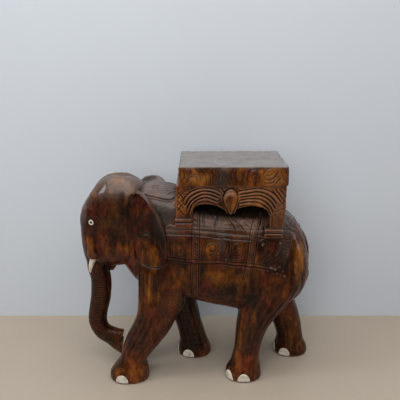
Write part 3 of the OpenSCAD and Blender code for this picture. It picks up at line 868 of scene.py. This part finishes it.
def carve_legs(c):
    """The woven crescent down the rear of the front leg, a crack above it, and the hollow under the ear."""
    hatch_zone(c, spline(LEG_HATCH, 4, True), 5.2, 1.5, (45, -45), 2.2, 0.6, weave=15.6)
    c.cuts([[(-114, 316), (-115, 292), (-118, 250)]], 2.4, 1.0, 14, 0.6)
    for sign in (-1, 1):
        c.lump((-112, sign * 100, 322), (50, 26, 26), -2.0)


def carve_tail(c):
    """Flattens the tail into the rump, sinks its root, and cuts the hairs of its tuft."""
    x, y, z = c.p.T
    y = np.abs(y)
    tail = smoothstep(236, 256, x) * smoothstep(15, 8, y)
    tail = tail * smoothstep(236, 256, z) * smoothstep(420, 392, z)
    tuft = smoothstep(285, 270, z)
    root = smoothstep(16, 9, y) * smoothstep(378, 402, z) * smoothstep(430, 414, z)
    c.lift += tail * tuft * 0.6 * np.sin(c.p[:, 1] * 1.9)
    c.lift -= 4.0 * root * smoothstep(232, 246, x)
    c.lift -= tail * (1 - tuft) * (2.4 + 0.12 * np.sin(z * 0.7 + y * 0.8))


def carved_regions(p):
    """The parts of the body that need a finer mesh, for points in millimetres."""
    x, y, z = p.T
    y = np.abs(y)
    sides = y > 45
    blanket = sides & (z > 255) & (z < 475) & (x > -170) & (x < 275)
    trunk = (z < 310) & (x < -196) & (y < 34)
    front_leg = sides & (x > -126) & (x < -34) & (z > 118) & (z < 270)
    eyes = (x < -236) & (y > 30) & (z > 390) & (z < 460)
    neck = (z > 480) & (x > -152) & (x < -50)
    return blanket | trunk | front_leg | eyes | neck


def make_body():
    obj = remeshed(node_copy("elephant_body", ["body", "eye_left", "eye_right", *NAILS]), BODY_VOXEL)
    p = get_verts(obj)
    softened(obj, 45, weight=smoothstep(0.004, 0.016, p[:, 2]))
    p = get_verts(obj)
    p[:, 2] = np.maximum(p[:, 2], 0.0)
    set_verts(obj, p)
    subdivided(obj, carved_regions(p / MM))
    c = Carving(obj)
    x, y, z = c.p.T
    outer = (np.abs(y) > 38) & (np.abs(c.n[:, 1]) > 0.05) & (y * c.n[:, 1] > 0)
    c.lift += 0.9 * waves(c.p, 60, 2) + 0.4 * waves(c.p, 34, 3) + 0.15 * waves(c.p, 15, 4)
    c.reach = outer
    carve_blanket(c)
    carve_rump(c)
    carve_neck(c)
    carve_trunk(c)
    carve_legs(c)
    carve_tail(c)
    c.reach = outer & (x < -150)
    carve_head(c)
    # painted shadow: the hollow under the stand is darkened where the stand shades it
    under = smoothstep(80, 70, np.abs(y)) * (np.abs(x - 70) < 110)
    c.dark = np.maximum(c.dark, under * smoothstep(436, 446, z))
    # no carving over the eyes and the nails
    for eye in ("eye_left", "eye_right"):
        low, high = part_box(eye)
        gap = np.linalg.norm(c.p - (np.array(low) + np.array(high)) / 2 / MM, axis=1)
        c.lift *= smoothstep(7.0, 10.0, gap)
    c.lift *= smoothstep(20, 44, z)
    c.apply(wear_and_highlight_share=0.65)
    tone_values(obj)
    finish_piece(obj, WOOD, "wood", "body")
    return obj


def carve_ear(c, outward):
    """outward is how far each point faces away from the elephant."""
    x, z = c.p[:, 0], c.p[:, 2]
    face = smoothstep(0.0, 0.6, outward)
    c.lift -= 1.5 * smoothstep(350, 330, z) * face
    c.reach = outward > 0.3
    # a dished middle and the folds across it
    c.lump((-128, -92, 430), (24, 70, 30), -2.5)
    c.lump((-122, -92, 366), (20, 70, 26), 2.0)
    c.cuts([[(-150, 402), (-142, 408), (-132, 411), (-120, 408)]], 6.0, 2.0, 7, 0.6)
    c.cuts([[(-146, 401), (-136, 402), (-126, 401)]], 3.4, 1.0, 5, 0.5)
    c.cuts([
        [(-136, 397), (-134, 388), (-133, 378)], [(-129, 396), (-126, 386), (-127, 374)],
        [(-133, 378), (-129, 371), (-122, 366)], [(-160, 400), (-160, 372), (-161, 340)],
    ], 2.8, 1.2, 5, 0.6)
    # the rear edge, with a loose flap of bark-like cuts near the lobe
    rear = spline([(-112, 490), (-104, 474), (-97, 454), (-92, 430), (-90, 404)])
    c.stroke(rear, 3.4, 1.0, fade=8, dark=0.4)
    flap = spline([(-100, 384), (-96, 369), (-89, 354), (-81, 336)])
    c.stroke(flap, 3.2, 1.4, fade=4, dark=0.7)
    c.stroke(flap + [2.6, 0.6], 3.0, -1.0, fade=4)


def head_surface(tree, x, z, side_sign):
    """How far the head reaches sideways at a place in X and Z, in millimetres."""
    hit = tree.ray_cast(Vector((x * MM, side_sign * 0.3, z * MM)), Vector((0, -side_sign, 0)))[0]
    return abs(hit.y) / MM if hit else 60.0


def make_ear(side, body):
    """An ear whose front edge runs smoothly into the head."""
    sign = -1 if side == "left" else 1
    obj = remeshed(node_copy(f"carved_ear_{side}", [f"ear_{side}"]), EAR_VOXEL)
    softened(obj, 34)
    p = get_verts(obj) / MM
    axis = np.linalg.svd(p - p.mean(0), full_matrices=False)[2][2]
    axis *= np.sign(axis[1]) * sign
    outward = get_normals(obj) @ axis
    tree = BVHTree.FromObject(body, bpy.context.evaluated_depsgraph_get())
    x, y, z = p.T
    heights = np.arange(320, 525, 6.0)
    head_y = np.interp(z, heights, [head_surface(tree, EAR_ROOT_X - 9, h, sign) for h in heights])
    y = np.abs(y)
    top = smoothstep(452, 500, z)
    away = smoothstep(EAR_ROOT_X - 4 * top, EAR_ROOT_X + 36 + 24 * top, x)
    face = smoothstep(0.1, 0.6, outward)
    flush = head_y - 0.8 + (y - head_y + 0.8) * away
    sunk = head_y + (y - head_y) * away - 1.0 + away
    y = np.where(outward > 0.1, y + (np.minimum(flush, y) - y) * face, np.minimum(y, sunk))
    # the hidden face slopes down into the neck from the ear's top
    slope = smoothstep(517, 486, z) * smoothstep(470, 484, z)
    y = y - 24 * slope * smoothstep(0.1, 0.5, -outward)
    y = y - 3 * (1 - away) * smoothstep(478, 512, z)
    # the lobe lies over the shoulder
    places = np.arange(-172, -70, 5.0)
    shoulder = np.interp(x, places, [head_surface(tree, at, 314, sign) for at in places])
    lobe = smoothstep(424, 334, z) * smoothstep(-174, -162, x) * smoothstep(0.0, 0.4, outward)
    y = y + np.maximum(shoulder + 1.0 - y, 0) * lobe
    p[:, 1] = sign * y
    p[:, 2] -= 18 * smoothstep(-142, -168, x) * smoothstep(462, 512, z)
    p[:, 0] -= 10 * (1 - away) ** 2
    set_verts(obj, p * MM)
    softened(obj, 6)
    c = Carving(obj)
    c.lift += 0.4 * waves(c.p, 30, 3)
    carve_ear(c, c.n @ axis)
    behind = smoothstep(-158, -136, c.p[:, 0])
    c.apply(wear_and_highlight_share=0.4 * behind * smoothstep(332, 350, c.p[:, 2]), dirt_and_shade_share=behind)
    # the top of the ear's hidden face gets the full painted sheen
    hidden = smoothstep(0.0, 0.5, -(get_normals(obj) @ axis))
    tone_values(obj, least_up=1.2 * hidden * smoothstep(484, 496, get_verts(obj)[:, 2] / MM))
    finish_piece(obj, WOOD, "wood", f"ear_{side}")


# -------- stand and seat board

# Dark lines between the rounded cords over the two arches, from the outermost inwards, in X and Z
CORDS_REAR = [
    [(88, 518), (108, 523), (137, 527), (161, 522), (179, 511), (192, 494)],
    [(92, 511), (114, 515), (137, 518), (157, 513), (173, 502), (185, 486)],
    [(93, 504), (118, 508), (142, 509), (161, 501), (174, 488), (181, 474)],
    [(93, 497), (114, 501), (138, 501), (156, 493), (169, 480), (176, 465)],
    [(91, 489), (114, 493), (134, 492), (152, 485), (164, 474), (170, 460)],
]
CORDS_FRONT = [
    [(52, 515), (35, 525), (7, 528), (-17, 521), (-33, 508), (-43, 490)],
    [(51, 507), (31, 517), (7, 520), (-13, 513), (-28, 500), (-38, 482)],
    [(46, 501), (27, 510), (7, 512), (-9, 505), (-24, 492), (-32, 474)],
    [(44, 493), (23, 502), (7, 503), (-8, 497), (-20, 485), (-27, 466)],
]
BOSS = [
    (73, 462), (64, 475), (57, 490), (55, 504), (60, 519), (73, 527), (86, 519), (89, 505), (87, 490),
    (81, 474),
]


def carve_stand(c):
    x, y, z = c.p.T
    face = c.reach & (np.abs(y) > 92)
    for cords in (CORDS_REAR, CORDS_FRONT):
        lines = [spline(path) for path in cords]
        for k, line in enumerate(lines):
            c.stroke(line, 4.4 if k else 3.4, 3.2, fade=5, reach=face)
        for outer, inner in zip(lines, lines[1:]):
            c.stroke((outer + inner) / 2, 7.0, -1.0, fade=6, reach=face)
        last = lines[-1] + (lines[-1] - lines[-2]) * 0.95
        c.stroke(last, 3.0, 1.4, fade=8, dark=0.5, reach=face)
    # fans of cuts in the outer corners
    c.cuts([
        [(170, 525), (185, 504), (201, 484)], [(179, 525), (191, 509), (203, 492)],
        [(190, 525), (197, 516), (204, 505)], [(182, 482), (193, 488), (203, 494)],
        [(178, 468), (190, 474), (202, 478)], [(-25, 527), (-40, 517), (-54, 500)],
        [(-33, 527), (-44, 520), (-55, 510)], [(-34, 508), (-44, 497), (-55, 484)],
        [(-52, 519), (-44, 508), (-37, 497)], [(-55, 498), (-46, 486), (-38, 476)],
        [(-36, 494), (-46, 482), (-55, 470)], [(-55, 482), (-46, 470), (-38, 460)],
    ], 3.2, 2.0, 3, 0.8, cord=((3.2, 2.2), 3.4, -0.7), reach=face)
    # the boss: a rounded bud, widest above its middle, with a pointed lower end
    bud = c.reach & (np.abs(y) > 95)
    d = np.hypot((x - 73) / 17.5, (z - 501) / np.where(z > 501, 25.0, 40.0))
    c.lift += 6.5 * np.sqrt(np.clip(1 - d**2, 0, 1)) * bud
    c.stroke(spline(BOSS, 6, True), 4.4, 2.8)
    c.cuts([[(73, 466), (71, 482), (74, 500)]], 3.0, 0.7, 6, 0.3, reach=bud)
    # leaves over the boss
    c.cuts([
        [(50, 531), (54, 522), (60, 516)],
        [(76, 531), (84, 526), (92, 514)],
        [(86, 531), (90, 524), (97, 521)],
    ], 3.6, 2.2, 2, 0.8, reach=face)
    # moulded feet: a groove between the two steps, and one over them
    side = c.reach & (np.abs(y) > 90)
    for x0, x1, foot in ((-64, -20, 441), (152, 204, 414)):
        c.stroke([(x0, foot + 1), (x1, foot + 1)], 4.6, 2.4, reach=side)
        c.stroke([(x0, foot + 12), (x1, foot + 12)], 3.0, 1.0, dark=0.7, reach=side)


def make_stand():
    obj = remeshed(node_copy("carved_stand", ["stand"]), STAND_VOXEL)
    softened(obj, 5)
    c = Carving(obj)
    c.lift += 0.4 * waves(c.p, 30, 7) + 0.2 * waves(c.p, 12, 8)
    c.reach = (np.abs(c.n[:, 1]) > 0.3) & (c.p[:, 1] * c.n[:, 1] > 0)
    carve_stand(c)
    # strong wear and painted highlight on the rounded cords
    c.apply(wear_and_highlight_share=1.4)
    tone_values(obj)
    finish_piece(obj, WOOD, "wood", "stand")


# Leaves and scrolls along the seat board's sides, in X and Z
SEAT_SCROLLS = [
    [(102, 538), (101, 551), (106, 565), (122, 575)], [(95, 537), (97, 549), (100, 560), (108, 572)],
    [(122, 541), (112, 548), (111, 560), (118, 570), (130, 573), (141, 568)],
    [(120, 552), (124, 561), (133, 563), (137, 556)], [(136, 538), (145, 557), (154, 571), (165, 577)],
    [(129, 537), (137, 550), (146, 566)], [(151, 551), (163, 549), (175, 556), (183, 570)],
    [(156, 561), (165, 559), (172, 566)], [(150, 541), (164, 540), (176, 545)],
    [(177, 537), (184, 548), (193, 553)], [(189, 573), (193, 561), (199, 549), (206, 538)],
    [(200, 573), (204, 562)], [(88, 573), (84, 560), (88, 546)], [(76, 571), (72, 558), (77, 544)],
    [(3, 576), (10, 564), (16, 548), (14, 538)], [(13, 576), (20, 565), (25, 553), (24, 540)],
    [(27, 576), (31, 562), (29, 544)], [(-20, 575), (-22, 566), (-14, 560), (-8, 566)],
    [(-42, 572), (-36, 560), (-42, 545)], [(-33, 540), (-25, 554), (-11, 556), (-5, 543)],
    [(-22, 540), (-16, 546)], [(-30, 572), (-32, 563)], [(40, 572), (46, 560), (42, 546)],
]
SEAT_LEAVES = [(122, 561), (166, 556), (90, 560), (146, 562), (188, 562), (20, 556), (-18, 548), (-30, 566)]


def make_seat():
    obj = remeshed(node_copy("carved_seat_board", ["seat_board"]), SEAT_VOXEL)
    softened(obj, 6)
    c = Carving(obj)
    p = c.p
    sides = (np.abs(c.n[:, 1]) > 0.6) & (p[:, 1] * c.n[:, 1] > 0)
    c.cuts(SEAT_SCROLLS, 3.8, 1.0, 5, 0.36, cord=((2.6, -1.8), 4.6, -0.4), reach=sides)
    for x, z in SEAT_LEAVES:
        for y in (-102, 102):
            c.lump((x, y, z), (8, 30, 8), 1.6)
    ends = np.abs(c.n[:, 0]) > 0.6
    for shift in (-186, -142, -98, -54):
        for path in SEAT_SCROLLS[2:4]:
            curl = spline([(u + shift, z) for u, z in path])
            c.stroke(curl, 4.0, 1.5, fade=4, dark=0.45, reach=ends, view="end")
    # an adzed top with an uneven edge, and hand-worn corners
    c.lift += 0.5 * waves(p, 40, 9) + 0.25 * waves(p, 14, 10)
    at_side = smoothstep(94, 102, np.abs(p[:, 1]))
    at_end = smoothstep(120, 130, np.abs(p[:, 0] - 79))
    rim = smoothstep(570, 580, p[:, 2]) * np.maximum(at_side, at_end)
    c.lift -= rim * (1.8 + 2.0 * waves(p * [1, 1, 0], 34, 13))
    c.apply(wear_and_highlight_share=0.6)
    # the faces that look up carry dust and a painted reflection
    tone_values(obj, dusty_sheen=0.86)
    finish_piece(obj, WOOD, "wood", "seat_board")


# -------- bone inlays

# How far a nail stands proud of its foot; where the tusk's curve starts, how long it is, and its depth
NAIL_PROUD = 0.0007
TUSK_CURVE_TOP = 0.324
TUSK_CURVE_LENGTH = 0.040
TUSK_CURVE = 0.003


def make_nail(name):
    """A low half-moon of bone, rounded over and a little proud of the foot."""
    obj = remeshed(node_copy(f"bone_{name}", [name]), BONE_VOXEL)
    softened(obj, 8, keep_volume=False)
    p = get_verts(obj)
    swell = NAIL_PROUD * (1 + 0.3 * waves(p / MM, 12, 17))
    set_verts(obj, p + get_normals(obj) * swell[:, None])
    finish_piece(obj, BONE, "bone", name)


def make_tusk(side):
    """The tusk with a slight curve towards its tip."""
    obj = remeshed(node_copy(f"bone_tusk_{side}", [f"tusk_{side}"]), BONE_VOXEL)
    softened(obj, 6)
    p = get_verts(obj)
    below = np.clip((TUSK_CURVE_TOP - p[:, 2]) / TUSK_CURVE_LENGTH, 0, 1)
    p[:, 0] -= TUSK_CURVE * np.sin(below * math.pi)
    swell = 0.0006 + 0.0003 * waves(p / MM, 16, 18)
    set_verts(obj, p + get_normals(obj) * swell[:, None])
    finish_piece(obj, BONE, "bone", f"tusk_{side}")


def make_eye(side):
    obj = remeshed(node_copy(f"bone_eye_{side}", [f"eye_{side}"]), EYE_VOXEL)
    softened(obj, 6)
    finish_piece(obj, BONE, "bone", f"eye_{side}")


body = make_body()
make_ear("left", body)
make_ear("right", body)
make_stand()
make_seat()
for nail in NAILS:
    make_nail(nail)
for side in ("left", "right"):
    make_tusk(side)
    make_eye(side)
for name in ("pupil_left", "pupil_right", "ear_pegs", "stand_dowels", "seat_dowels"):
    NODES[name].data.materials.clear()
    NODES[name].data.materials.append(BLACK if name.startswith("pupil") else DOWEL)


# -------- room, light and camera

FLOOR_COLOUR = (0.375, 0.318, 0.255)
WALL_COLOUR = (0.49, 0.515, 0.545)
DAYLIGHT = (0.86, 0.93, 1.0)
# The wall behind the elephant, half the width of the room, and its height
WALL_Y = 0.27
ROOM = 4.0
ROOM_HEIGHT = 3.0
# The camera that was fitted to the photo
CAMERA_PLACE = (0.0, -1.3435, 0.853)
CAMERA_DOWN = 15.88
CAMERA_LENS = 49.05


def quad(name, corners, material):
    obj = mesh_from(corners, [(0, 1, 2, 3)], name)
    obj.data.materials.append(material)
    return obj


floor_paint = plain_paint("floor_paint", FLOOR_COLOUR, 0.45, 0.06)
wall_paint = plain_paint("wall_paint", WALL_COLOUR, 0.9, 0.02, clear_behind=True)
quad("floor", [(-ROOM, -ROOM, 0), (ROOM, -ROOM, 0), (ROOM, ROOM, 0), (-ROOM, ROOM, 0)], floor_paint)
for name, (x0, y0), (x1, y1) in (
    ("wall", (-ROOM, WALL_Y), (ROOM, WALL_Y)),
    ("wall_near", (ROOM, -ROOM), (-ROOM, -ROOM)),
    ("wall_right", (ROOM, WALL_Y), (ROOM, -ROOM)),
    ("wall_left", (-ROOM, -ROOM), (-ROOM, WALL_Y)),
):
    quad(name, [(x0, y0, 0), (x1, y1, 0), (x1, y1, ROOM_HEIGHT), (x0, y0, ROOM_HEIGHT)], wall_paint)


def area_light(name, place, target, size, power, colour=(1, 1, 1)):
    data = bpy.data.lights.new(name, "AREA")
    data.shape = "RECTANGLE"
    data.size, data.size_y = size
    data.energy = power
    data.color = colour
    obj = placed(name, data)
    obj.location = place
    obj.rotation_euler = (Vector(target) - Vector(place)).to_track_quat("-Z", "Y").to_euler()
    return obj


# name, place, target, size and power; the front fill leaves no reflection in the varnish
area_light("ceiling", (0.0, -0.8, 2.4), (0, 0, 0.2), (3.2, 2.6), 61)
front_fill = area_light("front_fill", (-0.6, -3.0, 1.5), (0, 0.27, 0.1), (2.2, 1.6), 40)
front_fill.visible_glossy = False
area_light("window", (-2.1, -0.7, 1.9), (-0.1, 0, 0.35), (0.6, 0.9), 16, DAYLIGHT)
area_light("doorway", (2.6, -0.3, 0.9), (0.25, 0, 0.3), (0.5, 1.6), 7, DAYLIGHT)

world = bpy.data.worlds.new("room")
bpy.context.scene.world = world
world.use_nodes = True
sky = world.node_tree.nodes["Background"]
sky.inputs["Color"].default_value = (0.80, 0.83, 0.88, 1)
sky.inputs["Strength"].default_value = 0.05
bpy.context.scene.view_settings.view_transform = "Standard"
bpy.context.scene.view_settings.look = "Medium High Contrast"

camera_data = bpy.data.cameras.new("camera")
camera_data.sensor_width = 36
camera_data.lens = CAMERA_LENS
camera_data.clip_start = 0.05
camera = placed("camera", camera_data)
camera.location = CAMERA_PLACE
camera.rotation_euler = (math.radians(90 - CAMERA_DOWN), 0, 0)
bpy.context.scene.camera = camera
